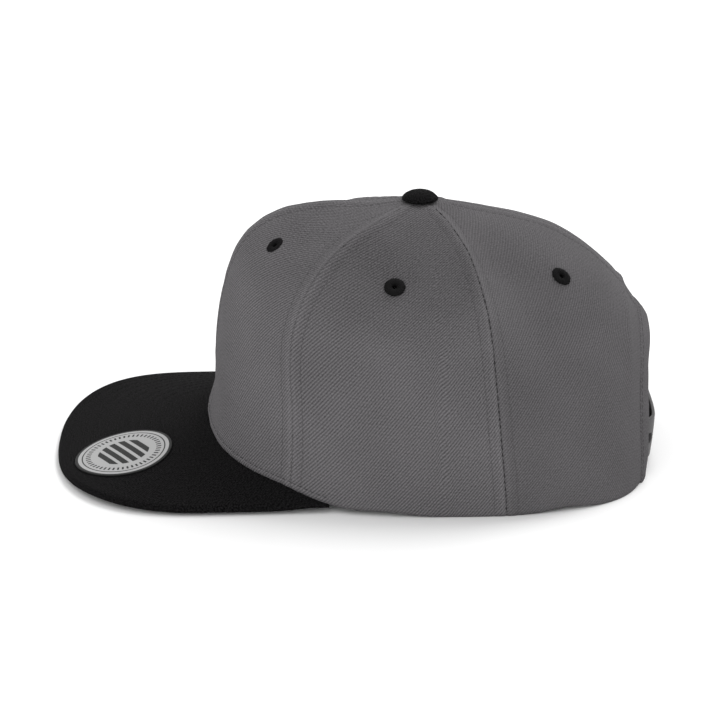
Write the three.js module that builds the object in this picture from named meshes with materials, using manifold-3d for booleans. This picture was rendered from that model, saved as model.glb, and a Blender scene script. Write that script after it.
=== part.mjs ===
// A flat bill cap: a six-panel crown, a stiff flat bill, a covered button, six sewn eyelets,
// and an arched opening at the back that two plastic snap straps close. It lies on its rim.
// Millimetres, +Z up. The bill points to -Y and the wearer's left is +X.
// Y is measured from the button, and the finished cap is centred in Y at the end.
import * as THREE from 'three';
import { mergeVertices } from 'three/addons/utils/BufferGeometryUtils.js';
import Module from 'manifold-3d';

const wasm = await Module();
wasm.setup();

const CLOTH = 2.0; // thickness of the crown wall
const GAP = 0.3; // clearance between neighbouring pieces
const RIGHT_ANGLE = 90; // a meridian's turn from the rim to the button, in degrees
const DEGREE = Math.PI / 180;
const WELD = 1e-4; // points nearer than this are one point

// The rim seen from above: half an oval in front of centreY and half behind it.
const RIM = { halfWidth: 85.5, centreY: 6.8, front: 101.2, rear: 97.8, frontPower: 2.38, rearPower: 2.95 };
// The top, where the panels meet in a low peak under the button.
const TOP = { height: 116.2, peak: 2.6, peakRadius: 30, crestRadius: 30, holeRadius: 4 };
// Each meridian is a quarter of a superellipse. The angle is measured from the front centre.
// The crest is how much higher the meridian runs outside the crest radius.
const MERIDIANS = [
  { angle: 0, power: 4.5, lean: -0.05, crest: 2.6 },
  { angle: 50, power: 2.4, lean: -0.052, crest: 0 },
  { angle: 90, power: 2.2, lean: -0.038, crest: 0 },
  { angle: 120, power: 1.93, lean: -0.12, crest: 0 },
  { angle: 180, power: 2.2, lean: 0.19, crest: 0 },
];
// The two seams of a side, as angles in equal steps from the rim to the button.
const SEAMS = [
  { front: 53.2, rear: 99.2 },
  { front: 51.6, rear: 98.8 },
  { front: 44.8, rear: 100.2 },
  { front: 43.2, rear: 103.6 },
  { front: 44.9, rear: 109.5 },
  { front: 48.0, rear: 114.0 },
];
const WHOLE = 'whole';
const FLATTENING = 0.075; // how far a panel's middle lies inside the oval near the top
const SAG = { front: 3.4, side: 3.1, rear: 3.1 }; // and how far it lies below its two seams
// The foot of the front panels is pushed outwards where it is sewn to the bill.
const FOOT = { out: 3.3, height: 22, fullAngle: 18, endAngle: 78 };

const BILL = {
  halfWidth: 80.2,
  widestY: -97.8,
  reach: 68.1, // from the widest line to the tip
  power: 2.45,
  thickness: 3.5,
  seamY: -96.5,
  seamHeight: 17.2, // top of the bill at seamY, in the middle
  pitch: 0.192, // fall per millimetre towards the tip
  arch: 0.00196, // sideways curvature at seamY
  archGrowth: 0.000029, // and how it grows towards the back
  cornerAngle: 65, // where the bill's corners end on the rim
  cornerStep: 1.5, // how much sooner its inner edge ends, in degrees
  cornerDrop: 20, // degrees of rim over which the crown comes down to the ground
  cornerThin: 2.0, // how much thinner the bill is at its two corners
  thinFromY: -66,
  thinLength: 23,
  frontShare: 0.72, // the share of the edge that is the rounded front
};

const BUTTON = { radius: 8.2, height: 3.8, sides: 22 };
// The button's section, from the middle of its seat to its top, in shares of radius and height.
const BUTTON_SECTION = [
  { out: 0, up: 0 },
  { out: 0.5, up: 0 },
  { out: 0.93, up: 0 },
  { out: 1, up: 0.16 },
  { out: 0.97, up: 0.32 },
  { out: 0.8, up: 0.66 },
  { out: 0.45, up: 0.94 },
  { out: 0, up: 1 },
];
const EYELET = { radius: 4.7, holeRadius: 1.25, barrelRadius: 2.2, height: 0.8, sides: 12, drillLength: 8 };
// The section of an eyelet's ring: shares of its width, from the hole outwards, and of its height.
const EYELET_RING = [
  { out: 1, up: 0.4 },
  { out: 0.6, up: 1 },
  { out: 0, up: 0.7 },
];
// How far across its panel and how far up its meridian each eyelet lies.
const EYELET_PLACES = [
  { panel: 'front', across: 0.36, up: 0.543 },
  { panel: 'side', across: 0.555, up: 0.591 },
  { panel: 'rear', across: 0.675, up: 0.582 },
];

// The opening at the back is half an ellipse, edged by a folded band that flares at its top.
const ARCH = { halfWidth: 41, height: 60, band: 9, proud: 0.7, flare: 2.6, flareFrom: 48, sides: 28 };
// The strip of wall that the band is cut from: degrees to each side, share of the height.
const ARCH_WALL = { span: 66, up: 0.72, columns: 42, rows: 12 };
const BACK_BLOCK = { depth: 90, startY: 36 }; // the space, behind the head, that cuts reach through

const STRAP = {
  thickness: 1.6,
  height: 20,
  bottom: 2.0,
  anchorX: 48, // the sewn end, inside the band
  freeX: 15, // how far past the middle the free end reaches
  bendOuterX: 37, // the strap leaves the band here
  bendInnerX: 21, // and is clear of the crown here
  outerOffset: 2.2, // outer face of the outer strap, from the rim's line
  innerOffset: 0.3, // outer face of the inner strap
  anchorOffset: -3.7, // outer face of both at the sewn end
  endRadius: 7,
  pitch: 9,
  pegRadius: 2.1,
  holeRadius: 2.6,
  pegProud: 0.8,
  firstHole: -1, // places along the strap, in steps of the pitch from the middle
  lastHole: 3,
  firstPeg: -3,
  lastPeg: 1,
  drillReach: 8,
  columns: 24,
  rows: 2,
  roundSides: 12,
};

const STICKER = { radius: 22, thickness: 0.5, x: 31.5, y: -135, sides: 28, rings: 3 };

const PANEL_GRID = { columns: 12, rows: 16 };
const BILL_GRID = { columns: 44, rows: 7 };

const crownCloth = new THREE.MeshStandardMaterial({ color: 0x626062, roughness: 0.9, metalness: 0 });
const blackCloth = new THREE.MeshStandardMaterial({ color: 0x1f1e1f, roughness: 0.92, metalness: 0 });
const blackThread = new THREE.MeshStandardMaterial({ color: 0x161616, roughness: 0.8, metalness: 0 });
const greyPlastic = new THREE.MeshStandardMaterial({ color: 0x4c4b4c, roughness: 0.45, metalness: 0 });
const silverFoil = new THREE.MeshStandardMaterial({ color: 0xbbbdbe, roughness: 0.35, metalness: 0.6 });

const mix = (a, b, t) => a + (b - a) * t;
const clamp = (t) => Math.min(1, Math.max(0, t));
const smooth = (t) => clamp(t) ** 2 * (3 - 2 * clamp(t));

// How much lower the bill's upper face is towards its corners, where it thins out.
function cornerTaper(y) {
  return BILL.cornerThin * smooth((y - BILL.thinFromY) / BILL.thinLength);
}

// The upper face of the bill, which is pitched towards the tip and arched from side to side.
function billTop(x, y) {
  const back = y - BILL.seamY;
  const curvature = BILL.arch + BILL.archGrowth * back;
  return BILL.seamHeight + BILL.pitch * back - curvature * x * x - cornerTaper(y);
}

// A point of the rim seen from above, before the foot is pushed outwards.
function rimPlan(angle) {
  const s = Math.sin(angle * DEGREE);
  const c = Math.cos(angle * DEGREE);
  const power = c > 0 ? RIM.frontPower : RIM.rearPower;
  const reach = c > 0 ? RIM.front : RIM.rear;
  const x = RIM.halfWidth * Math.sign(s) * Math.abs(s) ** (2 / power);
  return [x, RIM.centreY - reach * Math.sign(c) * Math.abs(c) ** (2 / power)];
}

// How far the crown's face is pushed outwards at a height above its rim.
function footOut(angle, height) {
  const share = 1 - smooth((Math.abs(angle) - FOOT.fullAngle) / (FOOT.endAngle - FOOT.fullAngle));
  return FOOT.out * share * clamp(1 - height / FOOT.height) ** 2;
}

function pushedOut(plan, out) {
  const growth = 1 + out / Math.hypot(...plan);
  return [plan[0] * growth, plan[1] * growth];
}

// The crown stands on the bill in front and on the ground at the sides and the back.
function rimHeight(angle) {
  const [x, y] = pushedOut(rimPlan(angle), footOut(angle, 0));
  const inward = 1 - CLOTH / Math.hypot(x, y);
  const seat = Math.max(billTop(x, y), billTop(x * inward, y * inward)) + GAP;
  const pastCorner = (Math.abs(angle) - BILL.cornerAngle) / BILL.cornerDrop;
  return seat * (1 - smooth(pastCorner));
}

function meridian(angle, column) {
  const next = MERIDIANS.findIndex((row) => row.angle >= angle);
  const high = MERIDIANS[Math.max(next, 1)];
  const low = MERIDIANS[Math.max(next, 1) - 1];
  return mix(low[column], high[column], smooth((angle - low.angle) / (high.angle - low.angle)));
}

// A seam's angle at a height, on a smooth curve through its column of the table.
function seamAngle(seam, up) {
  const rows = new THREE.SplineCurve(SEAMS.map((row) => new THREE.Vector2(row[seam], 0)));
  return rows.getPoint(up).x;
}

// The two seams that bound a panel of the left side, as angles at a height.
function panelEdges(panel, up) {
  if (panel === 'front') return [0, seamAngle('front', up)];
  if (panel === 'side') return [seamAngle('front', up), seamAngle('rear', up)];
  return [seamAngle('rear', up), 180];
}

function panelAt(angle, up) {
  if (angle < seamAngle('front', up)) return 'front';
  return angle < seamAngle('rear', up) ? 'side' : 'rear';
}

// How near a point is to the middle of its panel: 0 on a seam and 1 midway between two.
function towardsMiddle(angle, up, panel) {
  if (panel === WHOLE) return 0;
  const [from, to] = panelEdges(panel, up);
  const across = (angle - from) / (to - from);
  return 4 * across * (1 - across);
}

// A point of the crown's outer face: an angle from the front, and 0 to 1 from rim to button.
// With a panel named, the point is on that left panel's face, or on its smooth continuation.
// The WHOLE crown is the smooth shape that the seams lie on.
function crownPoint(angle, up, panel) {
  const turn = up * RIGHT_ANGLE * DEGREE;
  const turned = Math.abs(angle);
  const side = turned > 180 ? 360 - turned : turned;
  const power = meridian(side, 'power');
  const size = (Math.cos(turn) ** power + Math.sin(turn) ** power) ** (1 / power);
  const rise = Math.sin(turn) / size;
  const panelHere = panel ?? panelAt(side, up);
  const middle = towardsMiddle(panel ? angle : side, up, panelHere);
  const facet = 1 - FLATTENING * smooth(up) * middle;
  const reach = (Math.cos(turn) / size) * (1 + meridian(side, 'lean') * rise) * facet;
  const base = rimHeight(angle);
  const height = (TOP.height - base) * rise;
  const [x, y] = pushedOut(rimPlan(angle), footOut(angle, height));
  const point = new THREE.Vector3(x * reach, y * reach, 0);
  const away = Math.hypot(point.x, point.y);
  const peak = TOP.peak * (1 - smooth(away / TOP.peakRadius));
  const crest = meridian(side, 'crest') * rise * smooth(away / TOP.crestRadius);
  const sag = (SAG[panelHere] ?? 0) * middle * Math.sin(turn * 2);
  point.z = base + height + peak + crest - sag;
  return point;
}

function crownNormal(angle, up, panel) {
  const step = 0.002;
  const above = Math.min(1, up + step);
  const below = Math.max(0, up - step);
  const right = crownPoint(angle + step * RIGHT_ANGLE, up, panel);
  const sideways = right.sub(crownPoint(angle - step * RIGHT_ANGLE, up, panel));
  const upwards = crownPoint(angle, above, panel).sub(crownPoint(angle, below, panel));
  return sideways.cross(upwards).normalize();
}

// A point at a depth under the outer face; at the rim it stays level, so that the cut edge is flat.
// The depth is square to the smooth shape, so that two panels' edges are mitred at their seam.
function crownOffset(angle, up, offset, panel) {
  const point = crownPoint(angle, up, panel);
  const level = point.z;
  point.addScaledVector(crownNormal(angle, up, WHOLE), offset);
  if (up === 0) point.z = level;
  return point;
}

function closedGeometry(positions, index) {
  const geometry = new THREE.BufferGeometry();
  geometry.setAttribute('position', new THREE.Float32BufferAttribute(positions, 3));
  geometry.setIndex(index);
  return geometry;
}

// A closed sheet with thickness, from the points of its outer and its inner face.
function slab(columns, rows, outer, inner) {
  const positions = [];
  const index = [];
  const stride = columns + 1;
  const count = stride * (rows + 1);
  for (const face of [outer, inner]) {
    for (let j = 0; j <= rows; j++) {
      for (let i = 0; i <= columns; i++) positions.push(...face(i / columns, j / rows).toArray());
    }
  }
  const quad = (a, b, c, d) => index.push(a, b, c, a, c, d);
  for (let j = 0; j < rows; j++) {
    for (let i = 0; i < columns; i++) {
      const a = j * stride + i;
      quad(a, a + 1, a + 1 + stride, a + stride);
      quad(count + a, count + a + stride, count + a + 1 + stride, count + a + 1);
    }
  }
  const border = [];
  for (let i = 0; i < columns; i++) border.push(i);
  for (let j = 0; j < rows; j++) border.push(j * stride + columns);
  for (let i = columns; i > 0; i--) border.push(rows * stride + i);
  for (let j = rows; j > 0; j--) border.push(j * stride);
  border.forEach((a, n) => {
    const b = border[(n + 1) % border.length];
    quad(b, a, count + a, count + b);
  });
  return closedGeometry(positions, index);
}

function mirrored(geometry) {
  const copy = geometry.clone();
  copy.scale(-1, 1, 1);
  const index = copy.index.array;
  for (let i = 0; i < index.length; i += 3) [index[i], index[i + 1]] = [index[i + 1], index[i]];
  return copy;
}

function toSolid(geometry) {
  const bare = geometry.clone();
  bare.deleteAttribute('normal');
  bare.deleteAttribute('uv');
  const merged = mergeVertices(bare, WELD);
  const vertProperties = new Float32Array(merged.attributes.position.array);
  const triVerts = new Uint32Array(merged.index.array);
  return new wasm.Manifold(new wasm.Mesh({ numProp: 3, vertProperties, triVerts }));
}

function toGeometry(solid) {
  const mesh = solid.getMesh();
  return closedGeometry(Array.from(mesh.vertProperties), Array.from(mesh.triVerts));
}

// A shape drawn in X and Z, made a block that crosses the back of the crown in Y.
function backPrism(shape, curveSegments) {
  const block = new THREE.ExtrudeGeometry(shape, {
    depth: BACK_BLOCK.depth,
    bevelEnabled: false,
    curveSegments,
  });
  return block.rotateX(Math.PI / 2).translate(0, BACK_BLOCK.depth + BACK_BLOCK.startY, 0);
}

function archShape(halfWidth, height) {
  const below = -ARCH.band;
  const shape = new THREE.Shape();
  shape.moveTo(-halfWidth, below);
  shape.lineTo(halfWidth, below);
  shape.lineTo(halfWidth, 0);
  shape.absellipse(0, 0, halfWidth, height, 0, Math.PI, false, 0);
  return shape;
}

function eyeletFrame(place) {
  const [from, to] = panelEdges(place.panel, place.up);
  const angle = mix(from, to, place.across);
  const spin = new THREE.Quaternion();
  spin.setFromUnitVectors(new THREE.Vector3(0, 1, 0), crownNormal(angle, place.up, place.panel));
  const middle = crownPoint(angle, place.up, place.panel);
  return new THREE.Matrix4().compose(middle, spin, new THREE.Vector3(1, 1, 1));
}

function panelGeometry(panel) {
  const highest = 1 - TOP.holeRadius / (RIM.front * (Math.PI / 2));
  const face = (offset) => (across, step) => {
    const up = step * highest;
    const [from, to] = panelEdges(panel, up);
    const width = crownPoint(from, up).distanceTo(crownPoint(to, up));
    const margin = GAP / 2 / width;
    return crownOffset(mix(from, to, mix(margin, 1 - margin, across)), up, offset, panel);
  };
  let solid = toSolid(slab(PANEL_GRID.columns, PANEL_GRID.rows, face(0), face(-CLOTH)));
  for (const place of EYELET_PLACES.filter((row) => row.panel === panel)) {
    const drill = new THREE.CylinderGeometry(
      EYELET.barrelRadius + GAP,
      EYELET.barrelRadius + GAP,
      EYELET.drillLength,
      EYELET.sides,
    );
    solid = solid.subtract(toSolid(drill.applyMatrix4(eyeletFrame(place))));
  }
  if (panel === 'rear') {
    const opening = archShape(ARCH.halfWidth + ARCH.band + GAP, ARCH.height + ARCH.band + GAP);
    solid = solid.subtract(toSolid(backPrism(opening, ARCH.sides)));
  }
  return toGeometry(solid);
}

// A ring of thread on the face, with a barrel through the cloth and the air hole in its middle.
function eyeletGeometry(place) {
  const ring = EYELET_RING.map(({ out, up }) => [
    mix(EYELET.holeRadius, EYELET.radius, out),
    GAP + EYELET.height * up,
  ]);
  const profile = [
    [EYELET.holeRadius, -CLOTH],
    [EYELET.barrelRadius, -CLOTH],
    [EYELET.barrelRadius, GAP],
    [EYELET.radius, GAP],
    ...ring,
    [EYELET.holeRadius, -CLOTH],
  ].map(([x, y]) => new THREE.Vector2(x, y));
  return new THREE.LatheGeometry(profile, EYELET.sides).applyMatrix4(eyeletFrame(place));
}

// The button's dome follows the low peak that it is sewn on.
function buttonGeometry() {
  const { radius, height, sides } = BUTTON;
  const seat = TOP.height + TOP.peak + GAP;
  const profile = BUTTON_SECTION.map(({ out, up }) => new THREE.Vector2(out * radius, up * height));
  const dome = new THREE.LatheGeometry(profile, sides).rotateX(Math.PI / 2);
  const position = dome.attributes.position;
  for (let i = 0; i < position.count; i++) {
    const away = Math.hypot(position.getX(i), position.getY(i));
    const drop = TOP.peak * smooth(away / TOP.peakRadius);
    position.setZ(i, position.getZ(i) + seat - drop);
  }
  return dome;
}

// The edge of the bill in plan, from -1 at the right corner over 0 at the tip to 1 at the left.
function billEdge(place) {
  const side = Math.sign(place);
  const turn = Math.min(1, Math.abs(place) / BILL.frontShare) * RIGHT_ANGLE * DEGREE;
  const x = BILL.halfWidth * Math.sin(turn) ** (2 / BILL.power);
  const y = BILL.widestY - BILL.reach * Math.cos(turn) ** (2 / BILL.power);
  const [cornerX, cornerY] = pushedOut(rimPlan(BILL.cornerAngle), footOut(BILL.cornerAngle, 0));
  const back = clamp((Math.abs(place) - BILL.frontShare) / (1 - BILL.frontShare));
  return [side * mix(x, cornerX, back ** 2), mix(y, cornerY, back)];
}

function billGeometry() {
  const face = (under) => (along, out) => {
    const place = 1 - 2 * along;
    const inner = crownOffset(place * (BILL.cornerAngle - BILL.cornerStep), 0, -CLOTH);
    const [edgeX, edgeY] = billEdge(place);
    const x = mix(inner.x, edgeX, out);
    const y = mix(inner.y, edgeY, out);
    const depth = under ? BILL.thickness - cornerTaper(y) : 0;
    return new THREE.Vector3(x, y, billTop(x, y) - depth);
  };
  return slab(BILL_GRID.columns, BILL_GRID.rows, face(false), face(true));
}

// How far the band stands away from the wall: most at its free edge, over the top of the arch.
function bandFlare(point) {
  const ellipse = Math.hypot(point.x / ARCH.halfWidth, point.z / ARCH.height);
  const outwards = ((ellipse - 1) * ARCH.halfWidth) / ARCH.band;
  const upwards = (point.z - ARCH.flareFrom) / (ARCH.height - ARCH.flareFrom);
  return ARCH.flare * smooth(1 - outwards) * smooth(upwards);
}

// The folded band round the opening: a thicker strip of the crown's own wall.
function archBindingGeometry() {
  const face = (offset) => (along, step) => {
    const angle = 180 + mix(-ARCH_WALL.span, ARCH_WALL.span, along);
    const turned = angle > 180 ? angle - 360 : angle;
    const up = step * ARCH_WALL.up;
    return crownOffset(turned, up, offset + bandFlare(crownPoint(turned, up)));
  };
  const outer = face(ARCH.proud);
  const inner = face(-CLOTH - ARCH.proud);
  const wall = slab(ARCH_WALL.columns, ARCH_WALL.rows, outer, inner);
  const around = backPrism(archShape(ARCH.halfWidth + ARCH.band, ARCH.height + ARCH.band), ARCH.sides);
  const opening = backPrism(archShape(ARCH.halfWidth, ARCH.height), ARCH.sides);
  return toGeometry(toSolid(wall).intersect(toSolid(around)).subtract(toSolid(opening)));
}

// A point beside the rear rim: an offset outwards from its line, at a height.
function besideRim(x, z, offset) {
  const rimY = (at) => {
    const share = 1 - (Math.abs(at) / RIM.halfWidth) ** RIM.rearPower;
    return RIM.centreY + RIM.rear * share ** (1 / RIM.rearPower);
  };
  const slope = (rimY(x + 1) - rimY(x - 1)) / 2;
  const length = Math.hypot(1, slope);
  const turned = Math.asin((Math.abs(x) / RIM.halfWidth) ** (RIM.rearPower / 2)) / DEGREE;
  const power = meridian(180 - turned, 'power');
  const rise = z / TOP.height;
  const reach = (1 - rise ** power) ** (1 / power) * (1 + meridian(180 - turned, 'lean') * rise);
  return new THREE.Vector3(x - (offset * slope) / length, rimY(x) * reach + offset / length, z);
}

function strapOffset(x, clearOffset) {
  const bend = (Math.abs(x) - STRAP.bendInnerX) / (STRAP.bendOuterX - STRAP.bendInnerX);
  return mix(clearOffset, STRAP.anchorOffset, smooth(bend));
}

// A strap sewn in at the left, and reaching past the middle to its round free end.
function strapSheet(clearOffset) {
  const face = (depth) => (along, step) => {
    const x = mix(STRAP.anchorX, -STRAP.freeX, along);
    const z = STRAP.bottom + STRAP.height * step;
    return besideRim(x, z, strapOffset(x, clearOffset) - depth);
  };
  const sheet = toSolid(slab(STRAP.columns, STRAP.rows, face(0), face(STRAP.thickness)));
  const top = STRAP.bottom + STRAP.height;
  const outline = new THREE.Shape();
  outline.moveTo(RIM.halfWidth, STRAP.bottom);
  outline.lineTo(RIM.halfWidth, top);
  outline.lineTo(STRAP.endRadius - STRAP.freeX, top);
  outline.absarc(STRAP.endRadius - STRAP.freeX, top - STRAP.endRadius, STRAP.endRadius, Math.PI / 2, Math.PI);
  outline.absarc(
    STRAP.endRadius - STRAP.freeX,
    STRAP.bottom + STRAP.endRadius,
    STRAP.endRadius,
    Math.PI,
    Math.PI * 1.5,
  );
  return sheet.intersect(toSolid(backPrism(outline, STRAP.roundSides)));
}

// A round bar across the straps, from one offset beside the rim to another.
function strapPin(x, radius, from, to) {
  const z = STRAP.bottom + STRAP.height / 2;
  const start = besideRim(x, z, from);
  const end = besideRim(x, z, to);
  const spin = new THREE.Quaternion();
  spin.setFromUnitVectors(new THREE.Vector3(0, 1, 0), end.clone().sub(start).normalize());
  const pin = new THREE.CylinderGeometry(radius, radius, start.distanceTo(end), STRAP.roundSides);
  pin.applyQuaternion(spin);
  pin.translate(...start.add(end).multiplyScalar(0.5).toArray());
  return toSolid(pin);
}

// The left strap lies outside and has the holes.
function strapLeftGeometry() {
  let solid = strapSheet(STRAP.outerOffset);
  for (let n = STRAP.firstHole; n <= STRAP.lastHole; n++) {
    const x = n * STRAP.pitch;
    solid = solid.subtract(strapPin(x, STRAP.holeRadius, -STRAP.drillReach, STRAP.drillReach));
  }
  return toGeometry(solid);
}

// The right strap lies inside, and its pegs stand through the holes.
function strapRightGeometry() {
  let solid = toSolid(mirrored(toGeometry(strapSheet(STRAP.innerOffset))));
  for (let n = STRAP.firstPeg; n <= STRAP.lastPeg; n++) {
    const x = n * STRAP.pitch;
    const face = strapOffset(x, STRAP.innerOffset);
    const tip = face + STRAP.outerOffset - STRAP.innerOffset + STRAP.pegProud;
    solid = solid.add(strapPin(x, STRAP.pegRadius, face - STRAP.thickness / 2, tip));
  }
  return toGeometry(solid);
}

// A thin disc laid on the bill.
function stickerGeometry() {
  const { radius, thickness, sides, rings } = STICKER;
  const profile = [new THREE.Vector2(0, 0)];
  for (let n = 1; n <= rings; n++) profile.push(new THREE.Vector2((radius * n) / rings, 0));
  for (let n = rings; n > 0; n--) profile.push(new THREE.Vector2((radius * n) / rings, thickness));
  profile.push(new THREE.Vector2(0, thickness));
  const disc = new THREE.LatheGeometry(profile, sides).rotateX(Math.PI / 2);
  const position = disc.attributes.position;
  for (let i = 0; i < position.count; i++) {
    const x = position.getX(i) + STICKER.x;
    const y = position.getY(i) + STICKER.y;
    position.setXYZ(i, x, y, position.getZ(i) + billTop(x, y) + GAP);
  }
  return disc;
}

const cap = new THREE.Group();

function addPiece(name, geometry, material) {
  const mesh = new THREE.Mesh(geometry, material);
  mesh.name = name;
  cap.add(mesh);
}

for (const panel of ['front', 'side', 'rear']) {
  const geometry = panelGeometry(panel);
  addPiece(`panel_${panel}_left`, geometry, crownCloth);
  addPiece(`panel_${panel}_right`, mirrored(geometry), crownCloth);
}
for (const place of EYELET_PLACES) {
  const geometry = eyeletGeometry(place);
  addPiece(`eyelet_${place.panel}_left`, geometry, blackThread);
  addPiece(`eyelet_${place.panel}_right`, mirrored(geometry), blackThread);
}
addPiece('bill', billGeometry(), blackCloth);
addPiece('button', buttonGeometry(), blackCloth);
addPiece('arch_binding', archBindingGeometry(), crownCloth);
addPiece('strap_left', strapLeftGeometry(), greyPlastic);
addPiece('strap_right', strapRightGeometry(), greyPlastic);
addPiece('bill_sticker', stickerGeometry(), silverFoil);

// The origin is on the ground, under the middle of the whole cap.
const extent = new THREE.Box3().setFromObject(cap);
cap.position.y = -(extent.min.y + extent.max.y) / 2;

export default cap;
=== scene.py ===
import math

import bmesh
import bpy
from mathutils import Matrix, Vector, noise


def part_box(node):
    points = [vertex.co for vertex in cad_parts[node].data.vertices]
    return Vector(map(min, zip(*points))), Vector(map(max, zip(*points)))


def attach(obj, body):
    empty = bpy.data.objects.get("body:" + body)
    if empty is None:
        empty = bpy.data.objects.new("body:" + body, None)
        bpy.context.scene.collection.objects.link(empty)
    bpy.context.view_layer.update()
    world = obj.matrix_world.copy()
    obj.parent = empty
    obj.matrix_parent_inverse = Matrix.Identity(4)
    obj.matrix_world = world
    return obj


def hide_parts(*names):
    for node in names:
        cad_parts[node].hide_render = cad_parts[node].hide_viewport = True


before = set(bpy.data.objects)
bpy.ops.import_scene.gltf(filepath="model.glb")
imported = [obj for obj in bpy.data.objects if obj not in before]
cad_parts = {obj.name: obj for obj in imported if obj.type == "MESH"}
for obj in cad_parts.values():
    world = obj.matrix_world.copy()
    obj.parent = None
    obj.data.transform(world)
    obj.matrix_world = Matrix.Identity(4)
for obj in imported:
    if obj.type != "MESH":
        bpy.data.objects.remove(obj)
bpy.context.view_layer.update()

# The crown's six panels
# Gores of grey cotton twill, stiffened in front, cut to a flat pattern and sewn edge to edge.
# The seam allowances are pressed open, and a row of topstitching holds them on each side.
# The lower edge is turned in. It lies on the bill in front and on the ground elsewhere.
CLOTH = 0.0020
RIM = dict(half_width=0.0855, centre_y=0.0068, front=0.1012, rear=0.0978, front_power=2.38, rear_power=2.95)
TOP = dict(height=0.1162, peak=0.0026, peak_radius=0.030, crest_radius=0.030, hole_radius=0.004)
MERIDIANS = [
    dict(angle=0, power=4.5, lean=-0.05, crest=0.0026),
    dict(angle=50, power=2.4, lean=-0.052, crest=0),
    dict(angle=90, power=2.2, lean=-0.038, crest=0),
    dict(angle=120, power=1.93, lean=-0.12, crest=0),
    dict(angle=180, power=2.33, lean=0.16, crest=0),
]
SEAMS = [
    dict(front=53.2, rear=99.2),
    dict(front=51.6, rear=98.8),
    dict(front=44.8, rear=100.2),
    dict(front=43.2, rear=103.6),
    dict(front=44.9, rear=109.5),
    dict(front=48.0, rear=114.0),
]
FLATTENING = 0.075
SAG = dict(front=0.0034, side=0.0031, rear=0.0031, whole=0.0)
FOOT = dict(
    out=0.0033, height=0.022, full_angle=18, end_angle=78,
    rear_out=0.0020, rear_angle=138, rear_width=17,
)
BILL = dict(
    half_width=0.0802, widest_y=-0.0978, reach=0.0681, power=2.45, thickness=0.0035,
    seam_y=-0.0965, seam_height=0.0172, pitch=0.192, arch=1.96, arch_growth=29.0,
    corner_angle=65, corner_drop=20, corner_thin=0.0020, thin_from=-0.066, thin_length=0.023,
    edge_round=0.0011, edge_round_below=0.0006, cover=0.0006, corner_rise=0.0011,
)
ARCH = dict(
    half_width=0.041, height=0.060, band=0.009, proud=0.0006, flare=0.0026, flare_from=0.046,
    ridge=0.0009, ridge_from=0.0045, ridge_width=0.0012, ridge_foot=0.030, ridge_rise=0.020,
)
LIFTS = [dict(angle=79, width=7, lift=0.0023), dict(angle=116, width=8, lift=0.0020)]
EYELET_PLACES = [
    dict(panel="front", across=0.36, up=0.543, oval=0.76, oval_turn=24),
    dict(panel="side", across=0.555, up=0.591, oval=0.94, oval_turn=90),
    dict(panel="rear", across=0.675, up=0.582, oval=0.77, oval_turn=145),
]
GAP = 0.0003
PANEL = dict(
    edge_columns=14, middle_columns=34, hem_rows=12, rows=112, strip=0.0075, hem=0.006, punched=0.0026,
)
EASE = dict(wide=0.0010, wide_scale=24, narrow=0.0003, narrow_scale=75, full_height=0.012)
SEAM = dict(
    groove_width=0.0008, ridge=0.00022, ridge_width=0.0062, row=0.0052, furrow=0.00018, furrow_width=0.0007,
    pucker=0.00022, pucker_width=0.011, puckers_along=190, puckers_across=60, next_seam=0.5,
    lighter_at=0.0014, lighter_width=0.0009, widest_share=0.24,
)
GROOVES = dict(front=(0.0003, 0.0002), side=(0.0002, 0.0005), rear=(0.0005, 0.0003))
HEM = dict(roll=0.0007, roll_width=0.0010, row=0.0028, furrow=0.0003, sewn_above=0.0042)
axis_y = sum(corner.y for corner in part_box("button")) / 2


def mix(a, b, t):
    return a + (b - a) * t


def smooth(t):
    t = min(1.0, max(0.0, t))
    return t * t * (3 - 2 * t)


def bell(distance, width):
    return math.exp(-((distance / width) ** 2))


def corner_taper(y):
    return BILL["corner_thin"] * smooth((y - BILL["thin_from"]) / BILL["thin_length"])


def bill_top(x, y):
    back = y - BILL["seam_y"]
    curvature = BILL["arch"] + BILL["arch_growth"] * back
    return BILL["seam_height"] + BILL["pitch"] * back - curvature * x * x - corner_taper(y)


def foot_out(angle, height):
    share = 1 - smooth((abs(angle) - FOOT["full_angle"]) / (FOOT["end_angle"] - FOOT["full_angle"]))
    out = FOOT["out"] * share + FOOT["rear_out"] * bell(abs(angle) - FOOT["rear_angle"], FOOT["rear_width"])
    return out * max(0.0, 1 - height / FOOT["height"]) ** 2


def rim_plan(angle, height=0.0):
    """A point of the rim's line seen from above, with the foot pushed out as at that height."""
    s, c = math.sin(math.radians(angle)), math.cos(math.radians(angle))
    power = RIM["front_power"] if c > 0 else RIM["rear_power"]
    reach = RIM["front"] if c > 0 else RIM["rear"]
    x = RIM["half_width"] * math.copysign(abs(s) ** (2 / power), s)
    y = RIM["centre_y"] - reach * math.copysign(abs(c) ** (2 / power), c)
    growth = 1 + foot_out(angle, height) / math.hypot(x, y)
    return x * growth, y * growth


def on_bill(angle):
    """1 where the rim lies on the bill, falling to 0 where it lies on the ground."""
    return 1 - smooth((abs(angle) - BILL["corner_angle"]) / BILL["corner_drop"])


def rim_height(angle):
    seat = (bill_top(*rim_plan(angle)) + GAP) * on_bill(angle)
    return seat + sum(row["lift"] * bell(angle - row["angle"], row["width"]) for row in LIFTS)


def meridian(angle, column):
    """A value of the table of meridians at an angle from the front."""
    after = max(1, next(n for n, row in enumerate(MERIDIANS) if row["angle"] >= angle))
    low, high = MERIDIANS[after - 1], MERIDIANS[after]
    return mix(low[column], high[column], smooth((angle - low["angle"]) / (high["angle"] - low["angle"])))


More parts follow.
